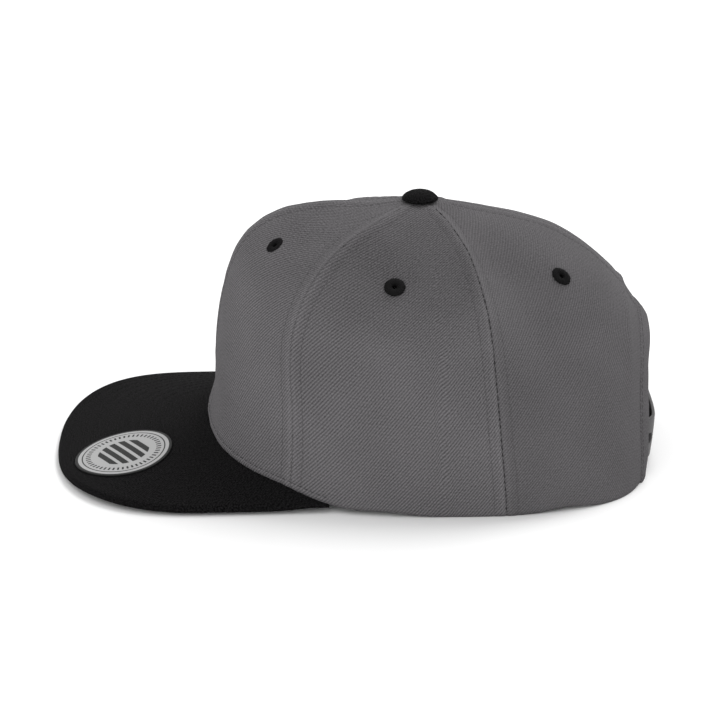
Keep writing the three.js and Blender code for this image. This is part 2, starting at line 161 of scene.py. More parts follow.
def seam_angle(seam, up):
    """The seam's angle at a height, on a smooth curve through its column of the table."""
    last = len(SEAMS) - 1
    place = min(up, 0.999999) * last
    n = int(place)
    t = place - n
    p0, p1, p2, p3 = (SEAMS[min(max(n + k, 0), last)][seam] for k in (-1, 0, 1, 2))
    v0, v1 = (p2 - p0) / 2, (p3 - p1) / 2
    return (2 * p1 - 2 * p2 + v0 + v1) * t**3 + (-3 * p1 + 3 * p2 - 2 * v0 - v1) * t**2 + v0 * t + p1


def panel_edges(panel, up):
    if panel == "front":
        return 0.0, seam_angle("front", up)
    if panel == "side":
        return seam_angle("front", up), seam_angle("rear", up)
    return seam_angle("rear", up), 180.0


def crown_point(angle, up, panel="whole"):
    """A point of the outer face: an angle from the front, and 0 to 1 from the rim to the button."""
    turn = up * math.pi / 2
    side = abs(angle) if abs(angle) <= 180 else 360 - abs(angle)
    power = meridian(side, "power")
    size = (abs(math.cos(turn)) ** power + math.sin(turn) ** power) ** (1 / power)
    rise = math.sin(turn) / size
    middle = 0.0
    if panel != "whole":
        start, end = panel_edges(panel, up)
        across = (angle - start) / (end - start)
        middle = 4 * across * (1 - across)
    reach = math.cos(turn) / size * (1 + meridian(side, "lean") * rise)
    reach *= 1 - FLATTENING * smooth(up) * middle
    base = rim_height(angle)
    height = (TOP["height"] - base) * rise
    x, y = rim_plan(angle, height)
    x, y = x * reach, y * reach
    away = math.hypot(x, y)
    peak = TOP["peak"] * (1 - smooth(away / TOP["peak_radius"]))
    crest = meridian(side, "crest") * rise * smooth(away / TOP["crest_radius"])
    return Vector((x, y, base + height + peak + crest - SAG[panel] * middle * math.sin(turn * 2)))


def crown_normal(angle, up, panel="whole", step=0.002):
    sideways = crown_point(angle + step * 90, up, panel) - crown_point(angle - step * 90, up, panel)
    upwards = crown_point(angle, min(1, up + step), panel) - crown_point(angle, max(0, up - step), panel)
    return sideways.cross(upwards).normalized()


def cloth_ease(place):
    """How far the cloth lies out from its pattern at a place, since it isn't stretched tight."""
    wide = EASE["wide"] * noise.noise(place * EASE["wide_scale"])
    narrow = EASE["narrow"] * noise.noise(place * EASE["narrow_scale"])
    return (wide + narrow) * smooth(place.z / EASE["full_height"])


def band_flare(x, z):
    """How far the cloth over the arch stands out from the wall, most at its free edge."""
    ellipse = math.hypot(x / ARCH["half_width"], z / ARCH["height"])
    outwards = (ellipse - 1) * ARCH["half_width"] / ARCH["band"]
    upwards = (z - ARCH["flare_from"]) / (ARCH["height"] - ARCH["flare_from"])
    return ARCH["flare"] * smooth(1 - outwards) * smooth(upwards)


def band_ridge(x, z):
    """The soft ridge of the cloth that is pulled up beside the band, over the sides of the arch."""
    away = (math.hypot(x / ARCH["half_width"], z / ARCH["height"]) - 1) * ARCH["half_width"] - ARCH["band"]
    ridge = ARCH["ridge"] * bell(away - ARCH["ridge_from"], ARCH["ridge_width"])
    return ridge * smooth((z - ARCH["ridge_foot"]) / ARCH["ridge_rise"])


def seam_relief(distance, along, groove, row):
    """Height of the cloth beside a seam: the groove, the allowance under it and its stitched row."""
    ridge = SEAM["ridge"] * (1 - smooth(distance / SEAM["ridge_width"]) ** 3)
    furrow = SEAM["furrow"] * bell(distance - row, SEAM["furrow_width"])
    place = Vector((along * SEAM["puckers_along"], distance * SEAM["puckers_across"], 3.1))
    pucker = SEAM["pucker"] * noise.noise(place) * bell(distance, SEAM["pucker_width"])
    return ridge - groove * bell(distance, SEAM["groove_width"]) - furrow + pucker


class Gore:
    """One panel of the left half, unrolled, with rows that are measured in metres of cloth."""

    steps = 60
    shares = 40

    def __init__(self, panel):
        self.panel = panel
        self.highest = 1 - TOP["hole_radius"] / (RIM["front"] * math.pi / 2)
        middles = [self.at_share(0.5, self.highest * n / self.steps) for n in range(self.steps + 1)]
        self.heights = self.lengths(middles)
        self.rows = {}

    def at_share(self, across, up):
        return crown_point(mix(*panel_edges(self.panel, up), across), up, self.panel)

    def lengths(self, points):
        total = [0.0]
        for here, there in zip(points, points[1:]):
            total.append(total[-1] + (there - here).length)
        return total

    def row(self, up):
        """The row at a height share: its height above the rim, and its lengths at even shares."""
        if up not in self.rows:
            place = min(up / self.highest, 0.999999) * self.steps
            height = mix(self.heights[int(place)], self.heights[int(place) + 1], place - int(place))
            points = [self.at_share(n / self.shares, up) for n in range(self.shares + 1)]
            self.rows[up] = height, self.lengths(points)
        return self.rows[up]

    def width(self, up):
        return self.row(up)[1][-1]

    def stitch_distance(self, up):
        return min(SEAM["row"], self.width(up) * SEAM["widest_share"])

    def face(self, distance, up, side):
        """A point of the finished face, at a distance from the panel's front edge, and its normal."""
        height, lengths = self.row(up)
        width = lengths[-1]
        n = next(k for k in range(1, self.shares + 1) if lengths[k] >= distance - 1e-9)
        share = (n - 1 + (distance - lengths[n - 1]) / (lengths[n] - lengths[n - 1])) / self.shares
        angle = mix(*panel_edges(self.panel, up), share)
        point = crown_point(angle, up, self.panel)
        normal = crown_normal(angle, up)
        seat = Vector((point.x * side, point.y, point.z))
        row = self.stitch_distance(up)
        front_groove, rear_groove = GROOVES[self.panel]
        out = cloth_ease(seat)
        out += seam_relief(distance, height, front_groove, row)
        out += seam_relief(width - distance, height + SEAM["next_seam"], rear_groove, row)
        out -= HEM["roll"] * bell(height, HEM["roll_width"])
        out -= HEM["furrow"] * on_bill(angle) * bell(height - HEM["row"], SEAM["furrow_width"])
        if self.panel == "rear":
            out += band_flare(point.x, point.z) + band_ridge(point.x, point.z)
        level = point.z
        point += normal * out
        if up < 1e-9:
            point.z = level
        return Vector((point.x * side, point.y, point.z)), Vector((normal.x * side, normal.y, normal.z))


def distance_across(column, width):
    """The distance of a column from the panel's front edge; the columns crowd beside both seams."""
    strip = min(PANEL["strip"], width * SEAM["widest_share"])
    edge, middle = PANEL["edge_columns"], PANEL["middle_columns"]
    if column <= edge:
        return strip * column / edge
    if column >= edge + middle:
        return width - strip * (2 * edge + middle - column) / edge
    return mix(strip, width - strip, (column - edge) / middle)


def gore_mesh(gore, side):
    bm = bmesh.new()
    columns = 2 * PANEL["edge_columns"] + PANEL["middle_columns"]
    rows = PANEL["hem_rows"] + PANEL["rows"]
    bmesh.ops.create_grid(bm, x_segments=columns, y_segments=rows, size=1)
    cut = bm.loops.layers.uv.new("cut")
    seam_lighter = bm.verts.layers.float.new("seam_lighter")
    flat = {}
    hem_up = PANEL["hem"] / (RIM["front"] * math.pi / 2)
    for vertex in bm.verts:
        column = round((vertex.co.x + 1) / 2 * columns)
        row = round((vertex.co.y + 1) / 2 * rows)
        low, high = row / PANEL["hem_rows"], (row - PANEL["hem_rows"]) / PANEL["rows"]
        up = hem_up * low if low < 1 else mix(hem_up, gore.highest, high)
        height, lengths = gore.row(up)
        distance = distance_across(column, lengths[-1])
        vertex.co, _ = gore.face(distance, up, side)
        beside = min(distance, lengths[-1] - distance)
        # A mask that lightens the tone on a narrow band beside each seam.
        vertex[seam_lighter] = bell(beside - SEAM["lighter_at"], SEAM["lighter_width"])
        flat[vertex] = ((distance - lengths[-1] / 2) * side, height)
    for face in bm.faces:
        for loop in face.loops:
            loop[cut].uv = flat[loop.vert]
    if side < 0:
        bmesh.ops.reverse_faces(bm, faces=bm.faces[:])
    return bm


class Shade:
    """One socket of a material, which takes part in Python arithmetic by adding Math nodes."""

    def __init__(self, socket):
        self.socket = socket

    @classmethod
    def start(cls, tree, kind, settings=None, sockets=None, output=0):
        made = tree.nodes.new(kind)
        for name, value in (settings or {}).items():
            setattr(made, name, value)
        for name, value in (sockets or {}).items():
            if isinstance(value, Shade):
                tree.links.new(value.socket, made.inputs[name])
            else:
                made.inputs[name].default_value = value
        return cls(made.outputs[output])

    def node(self, kind, settings=None, sockets=None, output=0):
        return Shade.start(self.socket.id_data, kind, settings, sockets, output)

    def maths(self, operation, *values):
        return self.node("ShaderNodeMath", {"operation": operation}, dict(enumerate(values)))

    def __add__(self, other):
        return self.maths("ADD", self, other)

    def __sub__(self, other):
        return self.maths("SUBTRACT", self, other)

    def __rsub__(self, other):
        return self.maths("SUBTRACT", other, self)

    def __mul__(self, other):
        return self.maths("MULTIPLY", self, other)

    def __truediv__(self, other):
        return self.maths("DIVIDE", self, other)

    def __pow__(self, other):
        return self.maths("POWER", self, other)

    def __lt__(self, other):
        return self.maths("LESS_THAN", self, other)

    def __gt__(self, other):
        return self.maths("GREATER_THAN", self, other)

    __radd__ = __add__
    __rmul__ = __mul__

    def wave(self):
        """From 0 to 1 and back for each whole step of the value."""
        return self.maths("SINE", self * math.tau) * 0.5 + 0.5

    def noise(self, scale, detail=2.0):
        return self.node("ShaderNodeTexNoise", {}, {"Vector": self, "Scale": scale, "Detail": detail})

    def parts(self):
        return [self.node("ShaderNodeSeparateXYZ", {}, {0: self}, n) for n in range(3)]

    def blend(self, low, high):
        """The colour between two, by this value."""
        sockets = {0: self, 6: low, 7: high}
        return self.node("ShaderNodeMix", {"data_type": "RGBA"}, sockets, 2)


def new_finish(name, roughness, sheen=0.0, metallic=0.0, specular=0.5):
    finish = bpy.data.materials.new(name)
    finish.use_nodes = True
    shader = finish.node_tree.nodes["Principled BSDF"]
    shader.inputs["Roughness"].default_value = roughness
    shader.inputs["Metallic"].default_value = metallic
    shader.inputs["Sheen Weight"].default_value = sheen
    shader.inputs["Sheen Roughness"].default_value = 0.45
    shader.inputs["Specular IOR Level"].default_value = specular
    return finish, shader


def feed(shader, name, shade):
    shader.id_data.links.new(shade.socket, shader.inputs[name])


def raise_surface(shader, height, distance, strength=1.0):
    """Lets a height in metres times distance tilt the surface's light."""
    bump = height.node("ShaderNodeBump", {}, {"Height": height, "Distance": distance, "Strength": strength})
    feed(shader, "Normal", bump)


def grey(value, green=0.96):
    """A grey from its value as seen on a screen, 0 to 255; less green makes it faintly violet."""
    linear = ((value / 255 + 0.055) / 1.055) ** 2.4
    return (linear, linear * green, linear, 1)


# The ramp up to each panel's top, where the ribs are pressed flat and painted shade darkens the cloth.
TOWARDS_TOP = dict(above=0.072, height=0.035, fading=0.55)


def twill_finish(
    name, valley, ridge, rib, slant, bold,
    depth=0.00022, seam_lightening=0.0, specular=0.06, sheen=0.0, shaded_top=0.0, speck=1.0,
):
    """Twill: slanted ribs of short floats in an uneven dye, pressed flat towards a panel's top. Painted
    shade darkens the ribs' valleys and each panel's top.
    """
    finish, shader = new_finish(name, 0.95, sheen=sheen, specular=specular)
    cut = Shade.start(finish.node_tree, "ShaderNodeUVMap", {"uv_map": "cut"})
    # The tone is lighter on a narrow band beside each seam, read from the panel's mask.
    seam_lighter = cut.node("ShaderNodeAttribute", {"attribute_name": "seam_lighter"}, {}, 2)
    u, v, _ = cut.parts()
    c, s = math.cos(math.radians(slant)), math.sin(math.radians(slant))
    drift = cut.noise(90) - 0.5
    across = (v * c - u * s) / rib + drift * 0.28
    along = (u * c + v * s) / (rib * 1.6) + across * 0.5
    ribs = across.wave()
    floats = along.wave()
    fuzz = cut.noise(2400, 2)
    fibre = cut.noise(1100, 2)
    cloud = cut.noise(26, 2)
    height = ribs * 0.5 + floats * ribs * 0.2 + fuzz * 0.5
    towards_top = v.maths("MAXIMUM", v.maths("MINIMUM", (v - TOWARDS_TOP["above"]) / TOWARDS_TOP["height"], 1.0), 0.0)
    bold_here = bold - bold * TOWARDS_TOP["fading"] * towards_top
    specks = ((fibre - 0.5) * 0.5 + (fuzz - 0.5) * 0.6) * speck
    # Painted shade: the tone is darker in the ribs' valleys than on their crests and floats, less so
    # towards the panel's top; the specks and broad clouds are the cloth's own uneven dye.
    tone = (ribs - 0.5) * bold_here + floats * ribs * 0.12 + specks + cloud * 0.22 + 0.29
    # Painted shade: each panel's top is darker by shaded_top.
    tone = tone + seam_lighter * seam_lightening - towards_top * shaded_top
    feed(shader, "Base Color", tone.blend(valley, ridge))
    raise_surface(shader, height, depth)
    return finish


# The three panels are one cloth. Their ridge tones differ as painted light and shade: lightest on the
# front, darkest on the rear panel.
TWILLS = dict(
    front=dict(ridge=grey(134), rib=0.00112, slant=58, bold=0.29, shaded_top=0.14),
    side=dict(ridge=grey(130), rib=0.00113, slant=49, bold=0.30, shaded_top=0.17),
    rear=dict(ridge=grey(119), rib=0.00100, slant=43, bold=0.22, shaded_top=0.02),
)


def finished(name, bm, material, smooth_faces=True):
    """Makes a piece from a mesh drawn round the button's axis."""
    bmesh.ops.translate(bm, verts=bm.verts[:], vec=(0, axis_y, 0))
    mesh = bpy.data.meshes.new(name)
    bm.to_mesh(mesh)
    bm.free()
    mesh.materials.append(material)
    for polygon in mesh.polygons:
        polygon.use_smooth = smooth_faces
    piece = bpy.data.objects.new(name, mesh)
    bpy.context.scene.collection.objects.link(piece)
    return piece


def thicken(piece, thickness):
    wall = piece.modifiers.new("wall", "SOLIDIFY")
    wall.thickness = thickness
    wall.offset = -1
    return piece


crown_twills = {
    panel: twill_finish(f"{panel}_twill", grey(45), seam_lightening=0.07, sheen=0.02, **twill)
    for panel, twill in TWILLS.items()
}
GORES = {panel: Gore(panel) for panel in ("front", "side", "rear")}
SIDES = dict(left=1, right=-1)


def inside_arch(point, grow):
    x = point.x / (ARCH["half_width"] + grow)
    z = point.z / (ARCH["height"] + grow)
    return point.y > 0 and x * x + z * z < 1


def eyelet_seat(place, side):
    """Where an eyelet lies on the finished face, and the face's normal there."""
    start, end = panel_edges(place["panel"], place["up"])
    angle = mix(start, end, place["across"])
    point = crown_point(angle, place["up"], place["panel"])
    normal = crown_normal(angle, place["up"], place["panel"])
    return Vector((point.x * side, point.y, point.z)), Vector((normal.x * side, normal.y, normal.z))


for panel, gore in GORES.items():
    for side_name, side in SIDES.items():
        bm = gore_mesh(gore, side)
        place = next(row for row in EYELET_PLACES if row["panel"] == panel)
        seat, _ = eyelet_seat(place, side)
        punched = [f for f in bm.faces if (f.calc_center_median() - seat).length < PANEL["punched"]]
        if panel == "rear":
            under_band = ARCH["band"] * 0.5
            punched += [f for f in bm.faces if all(inside_arch(v.co, under_band) for v in f.verts)]
        bmesh.ops.delete(bm, geom=list(set(punched)), context="FACES")
        name = f"{panel}_panel_{side_name}"
        piece = thicken(finished(name, bm, crown_twills[panel]), CLOTH - 0.0001)
        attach(piece, "root")
        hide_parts(f"panel_{panel}_{side_name}")

# The crown's topstitching
# Grey polyester thread, one shade from the cloth, sewn by machine about eight stitches to the
# inch, in a row on each side of every seam. Darker thread closes the seam before the rear panel
# and holds the turned edge on the bill.
STITCH = dict(length=0.0024, step=0.0031, radius=0.00018, lowest=0.012, highest=0.93)
SEAM_STITCH = dict(length=0.0020, radius=0.00021, hem_radius=0.00013)


def stitch_row(bm, path, step=STITCH["step"], length=STITCH["length"], radius=STITCH["radius"]):
    """Lays stitches along a path of points with normals, each half sunk in the cloth."""
    to_next = step / 2
    for (here, normal), (there, _) in zip(path, path[1:]):
        run = there - here
        while run.length > 0 and to_next <= run.length:
            centre = here + run.normalized() * to_next
            forward = run.normalized()
            sideways = normal.cross(forward).normalized()
            frame_axes = Matrix((forward, sideways, forward.cross(sideways))).transposed().to_4x4()
            size = Matrix.Diagonal((length / 2, radius, radius, 1))
            bmesh.ops.create_icosphere(
                bm, subdivisions=2, radius=1, matrix=Matrix.Translation(centre) @ frame_axes @ size
            )
            to_next += step
        to_next -= run.length


def seam_path(gore, side, from_front, beside=True):
    """The path of a row beside one edge of a panel, or in its seam, from the hem to the button."""
    path = []
    for n in range(151):
        up = mix(STITCH["lowest"], STITCH["highest"], n / 150)
        inset = gore.stitch_distance(up) if beside else 0.0
        spot, normal = gore.face(inset if from_front else gore.width(up) - inset, up, side)
        if gore.panel != "rear" or not inside_arch(spot, ARCH["band"]):
            path.append((spot, normal))
    return path


def hem_path(gore, side):
    """The path of the row above a panel's lower edge, as far as it is sewn to the bill."""
    path = []
    up = HEM["row"] / (RIM["front"] * math.pi / 2)
    for n in range(91):
        spot, normal = gore.face(gore.width(up) * n / 90, up, side)
        if spot.z > HEM["row"] + HEM["sewn_above"]:
            path.append((spot, normal))
    return path


def thread_finish(name, tone):
    """Twisted thread, seen as fine slanted lines."""
    finish, shader = new_finish(name, 0.8, specular=0.06)
    place = Shade.start(finish.node_tree, "ShaderNodeTexCoord", {}, {}, 3)
    x, y, z = place.parts()
    twist = ((x + y * 0.7 + z) / 0.0005).wave()
    shade = twist * 0.5 + place.noise(900) * 0.5
    feed(shader, "Base Color", shade.blend(grey(tone * 0.75), grey(tone * 1.2)))
    raise_surface(shader, twist, 0.0001)
    return finish


grey_thread = thread_finish("grey_thread", 84)
seam_thread = thread_finish("seam_thread", 46)
for side_name, side in SIDES.items():
    bm = bmesh.new()
    for gore in GORES.values():
        stitch_row(bm, seam_path(gore, side, True))
        stitch_row(bm, seam_path(gore, side, False))
    piece = finished(f"crown_stitching_{side_name}", bm, grey_thread)
    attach(piece, "root")

    bm = bmesh.new()
    closing = seam_path(GORES["rear"], side, True, False)
    stitch_row(bm, closing, length=SEAM_STITCH["length"], radius=SEAM_STITCH["radius"])
    for panel in ("front", "side"):
        stitch_row(bm, hem_path(GORES[panel], side), radius=SEAM_STITCH["hem_radius"])
    piece = finished(f"seam_stitching_{side_name}", bm, seam_thread)
    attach(piece, "root")

# The bill
# A flat board covered above and below with black twill, the two covers joined over its edge.
# Nine rows of black topstitching follow the outline. Its back edge is sewn under the crown.
BILL_ROWS = dict(
    first=0.0053, step=0.0053, count=9, furrow=0.00012, furrow_width=0.0009,
    stitch=0.0022, stitch_step=0.0029, thread=0.0002,
)
BILL_GRID = dict(columns=200, rows=94, step=0.00075, straight=0.72, deepest=0.079)


def bill_place(along, depth):
    """A point of the bill in plan: along its edge from -1 to 1, and a depth in from the edge."""
    side = math.copysign(1, along)
    turn = min(1.0, abs(along) / BILL_GRID["straight"]) * math.pi / 2
    back = max(0.0, (abs(along) - BILL_GRID["straight"]) / (1 - BILL_GRID["straight"]))
    corner_x, corner_y = rim_plan(BILL["corner_angle"])
    x = (BILL["half_width"] - depth) * math.sin(turn) ** (2 / BILL["power"])
    y = BILL["widest_y"] - (BILL["reach"] - depth) * abs(math.cos(turn)) ** (2 / BILL["power"])
    return side * mix(x, corner_x - depth, back**2), mix(y, corner_y, back)


def inside_rim(x, y, inset):
    """True where a plan point lies inside the crown by more than the inset."""
    length = math.hypot(x, y)
    x, y = x * (1 + inset / length), y * (1 + inset / length)
    low, high = 0.0, 90.0
    for _ in range(24):
        angle = (low + high) / 2
        rim_x, _ = rim_plan(angle)
        low, high = (angle, high) if rim_x < abs(x) else (low, angle)
    return y > rim_plan(angle)[1]


def bill_depth_limit(along):
    """The depth at which the bill ends, a little inside the crown's wall."""
    low, high = 0.0, BILL_GRID["deepest"]
    for _ in range(22):
        middle = (low + high) / 2
        x, y = bill_place(along, middle)
        low, high = (low, middle) if inside_rim(x, y, CLOTH * 0.8) else (middle, high)
    return low


def bill_thickness(y):
    return BILL["thickness"] - corner_taper(y) * (1 + BILL["corner_rise"] / BILL["corner_thin"])


def bill_relief(depth, y, rim=BILL["edge_round"]):
    """The cloth's height over the board: round at the edge, drawn down at each stitched row."""
    inward = min(1.0, max(0.0, 1 - (depth + BILL["cover"]) / rim))
    relief = -min(rim, bill_thickness(y) * 0.4) * (1 - math.sqrt(1 - inward * inward))
    for n in range(BILL_ROWS["count"]):
        away = depth - BILL_ROWS["first"] - n * BILL_ROWS["step"]
        relief -= BILL_ROWS["furrow"] * bell(away, BILL_ROWS["furrow_width"])
    return relief


bm = bmesh.new()
bmesh.ops.create_grid(bm, x_segments=BILL_GRID["columns"], y_segments=BILL_GRID["rows"], size=1)
cut = bm.loops.layers.uv.new("cut")
depth_of = {}
limits = {}
for vertex in bm.verts:
    column = round((vertex.co.x + 1) / 2 * BILL_GRID["columns"])
    row = round((vertex.co.y + 1) / 2 * BILL_GRID["rows"])
    along = 1 - 2 * column / BILL_GRID["columns"]
    if column not in limits:
        limits[column] = bill_depth_limit(along)
    depth = min(row * BILL_GRID["step"] - BILL["cover"], limits[column])
    x, y = bill_place(along, depth)
    depth_of[vertex] = depth
    vertex.co = (x, y, bill_top(x, y) + bill_relief(depth, y))
bottom = bmesh.ops.duplicate(bm, geom=bm.verts[:] + bm.edges[:] + bm.faces[:])
lower = [item for item in bottom["geom"] if isinstance(item, bmesh.types.BMVert)]
upper_of = {v: bottom["vert_map"][v] for v in lower}
lower_faces = [item for item in bottom["geom"] if isinstance(item, bmesh.types.BMFace)]
for vertex in lower:
    x, y, _ = vertex.co
    relief = bill_relief(depth_of[upper_of[vertex]], y, BILL["edge_round_below"])
    vertex.co.z = bill_top(x, y) - bill_thickness(y) - relief
bmesh.ops.reverse_faces(bm, faces=lower_faces)
bmesh.ops.remove_doubles(bm, verts=bm.verts[:], dist=1e-6)
rims = [edge for edge in bm.edges if edge.is_boundary]
bmesh.ops.bridge_loops(bm, edges=rims)
bmesh.ops.recalc_face_normals(bm, faces=bm.faces[:])
for face in bm.faces:
    for loop in face.loops:
        loop[cut].uv = (loop.vert.co.y + loop.vert.co.z, loop.vert.co.z - loop.vert.co.x)
black_twill = twill_finish(
    "black_twill", grey(2), grey(31), rib=0.00105, slant=52, bold=0.2,
    depth=0.0002, specular=0.02, sheen=0.014, speck=7.0,
)
piece = finished("flat_bill", bm, black_twill)
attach(piece, "root")
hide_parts("bill")

black_thread = thread_finish("black_thread", 22)
bm = bmesh.new()
for n in range(BILL_ROWS["count"]):
    depth = BILL_ROWS["first"] + n * BILL_ROWS["step"]
    path = []
    for k in range(401):
        along = 1 - k / 200
        x, y = bill_place(along, depth)
        if inside_rim(x, y, -0.0004):
            continue
        height = bill_top(x, y) + bill_relief(depth, y)
        path.append((Vector((x, y, height)), Vector((0, 0, 1))))
    stitch_row(bm, path, BILL_ROWS["stitch_step"], BILL_ROWS["stitch"], BILL_ROWS["thread"])
piece = finished("bill_stitching", bm, black_thread)
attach(piece, "root")

# The button
# A small pressed shell covered with the bill's black twill, with the cloth gathered below it.
# It is fixed through the crown where the six panels meet.
BUTTON = dict(radius=0.0082, height=0.0038, sides=64, folds=9, fold=0.00012, fold_from=0.6)
button_profile = [
    (0.0, 1.0), (0.22, 0.985), (0.45, 0.93), (0.66, 0.80), (0.83, 0.60), (0.94, 0.40),
    (1.0, 0.22), (0.985, 0.08), (0.93, 0.0), (0.6, 0.0), (0.3, 0.0), (0.0, 0.0),
]
bm = bmesh.new()
seat = TOP["height"] + TOP["peak"] + GAP
points = []
for share, rise in button_profile:
    drop = TOP["peak"] * smooth(share * BUTTON["radius"] / TOP["peak_radius"])
    points.append(bm.verts.new((share * BUTTON["radius"], 0, seat - drop + rise * BUTTON["height"])))
outline = [bm.edges.new(pair) for pair in zip(points, points[1:])]
bmesh.ops.spin(
    bm, geom=points + outline, cent=(0, 0, 0), axis=(0, 0, 1), angle=math.tau,
    steps=BUTTON["sides"], use_merge=True,
)
bmesh.ops.remove_doubles(bm, verts=bm.verts[:], dist=1e-6)
bmesh.ops.recalc_face_normals(bm, faces=bm.faces[:])
cut = bm.loops.layers.uv.new("cut")
for vertex in bm.verts:
    turn = math.atan2(vertex.co.y, vertex.co.x)
    away = math.hypot(vertex.co.x, vertex.co.y) / BUTTON["radius"]
    edge = smooth((away - BUTTON["fold_from"]) / (1 - BUTTON["fold_from"]))
    fold = BUTTON["fold"] * math.sin(turn * BUTTON["folds"] + 0.6) * edge
    vertex.co += Vector((math.cos(turn), math.sin(turn), 0)) * fold
for face in bm.faces:
    for loop in face.loops:
        loop[cut].uv = (loop.vert.co.y + loop.vert.co.z, loop.vert.co.z - loop.vert.co.x)
piece = finished("top_button", bm, black_twill)
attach(piece, "root")
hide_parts("button")

# The six vent eyelets
# Black satin stitch sewn round a punched hole: a ring of threads side by side, each running
# from the cloth over the ring and down into the hole.
EYELET = dict(
    radius=0.0045, hole=0.0009, height=0.0009, threads=38, strand_height=0.00012,
    uneven=0.06, ragged=0.09, strand=0.05,
)
ring_profile = [
    (0.00, -2.3), (0.02, -0.6), (0.06, 0.25), (0.16, 0.72), (0.34, 1.0), (0.58, 1.0),
    (0.80, 0.72), (0.94, 0.32), (1.0, -0.25), (0.9, -0.6), (0.5, -0.6), (0.35, -2.3),
]
for place in EYELET_PLACES:
    for side_name, side in SIDES.items():
        seat, normal = eyelet_seat(place, side)
        bm = bmesh.new()
        points = []
        for share, rise in ring_profile:
            away = mix(EYELET["hole"], EYELET["radius"], share)
            points.append(bm.verts.new((away, 0, rise * EYELET["height"])))
        outline = [bm.edges.new((a, b)) for a, b in zip(points, points[1:] + points[:1])]
        bmesh.ops.spin(
            bm, geom=points + outline, cent=(0, 0, 0), axis=(0, 0, 1), angle=math.tau,
            steps=EYELET["threads"] * 4, use_merge=True,
        )
        bmesh.ops.remove_doubles(bm, verts=bm.verts[:], dist=1e-7)
        bmesh.ops.recalc_face_normals(bm, faces=bm.faces[:])
        for vertex in bm.verts:
            turn = math.atan2(vertex.co.y, vertex.co.x)
            away = math.hypot(vertex.co.x, vertex.co.y)
            strand = abs(math.sin(turn * EYELET["threads"] / 2))
            uneven = noise.noise(Vector((math.cos(turn) * 3, math.sin(turn) * 3, seat.z * 50)))
            ragged = noise.noise(Vector((math.cos(turn) * 11, math.sin(turn) * 11, seat.x * 50)))
            out = smooth((away - EYELET["hole"]) / EYELET["radius"])
            spread = EYELET["uneven"] * uneven + EYELET["ragged"] * ragged + EYELET["strand"] * strand
            growth = 1 + spread * out
            lift = EYELET["strand_height"] * strand * smooth(vertex.co.z / EYELET["height"])
            vertex.co = (vertex.co.x * growth, vertex.co.y * growth, vertex.co.z + lift)
        lean = math.radians(place["oval_turn"])
        narrow = Vector((-side * math.cos(lean), math.sin(lean), 0))
        for vertex in bm.verts:
            vertex.co -= narrow * (vertex.co.dot(narrow) * (1 - place["oval"]))
        sideways = Vector((0, 0, 1)).cross(normal).normalized()
        turned = Matrix((sideways, normal.cross(sideways), normal)).transposed().to_4x4()
        bmesh.ops.transform(bm, verts=bm.verts[:], matrix=Matrix.Translation(seat) @ turned)
        piece = finished(f"{place['panel']}_eyelet_{side_name}", bm, black_thread)
        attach(piece, "root")
        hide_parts(f"eyelet_{place['panel']}_{side_name}")

# The band round the arch
# A strip of the crown's twill folded over the raw edge of the arch, inside and out, and held
# by two rows of topstitching. Over the top of the arch its folded edge stands away a little.
BAND = dict(steps=120, bend=0.058, rows=(0.15, 0.86), row_end=0.03, row_height=0.7, stitch_radius=0.00015)
band_section = [
    (1.00, 0.00), (0.985, 0.50), (0.94, 0.85), (0.86, 0.72), (0.78, 0.92), (0.45, 1.00), (0.22, 0.90),
    (0.13, 0.9), (0.04, 0.65), (-0.01, 0.1), (-0.025, -0.9), (-0.025, -2.0), (-0.01, -3.0), (0.04, -3.6),
    (0.3, -3.9), (0.7, -3.9), (0.95, -3.7), (1.00, -2.8),
]


def wall_behind(x, z):
    """The angle and height share at which the back wall has a given x and z, from a rough guess."""
    angle, up = 180 - abs(x) * 700, z * 5
    step_angle, step_up = 0.05, 0.0005
    for _ in range(12):
        point = crown_point(angle, up, "rear")
        by_angle = (point - crown_point(angle - step_angle, up, "rear")) / step_angle
        by_up = (crown_point(angle, up + step_up, "rear") - point) / step_up
        miss_x, miss_z = abs(x) - point.x, z - point.z
        determinant = by_angle.x * by_up.z - by_up.x * by_angle.z
        angle += (miss_x * by_up.z - by_up.x * miss_z) / determinant
        up += (by_angle.x * miss_z - miss_x * by_angle.z) / determinant
        angle, up = min(angle, 180.0), max(up, 0.0)
    return angle, up


def band_point(turn, inward, out):
    """A point of the band: a turn round the arch, 0 to 1 across it, and a height on the wall."""
    x = (ARCH["half_width"] + ARCH["band"] * inward) * math.cos(turn)
    z = max(0.0, (ARCH["height"] + ARCH["band"] * inward) * math.sin(turn))
    angle, up = wall_behind(x, z)
    side = math.copysign(1, x)
    normal = crown_normal(angle, up)
    point = crown_point(angle, up, "rear")
    ease = cloth_ease(Vector((point.x * side, point.y, point.z)))
    point += normal * (out + ease + band_flare(abs(x), z))
    level = z if z < 1e-6 else point.z
    return Vector((point.x * side, point.y, level)), Vector((normal.x * side, normal.y, normal.z))


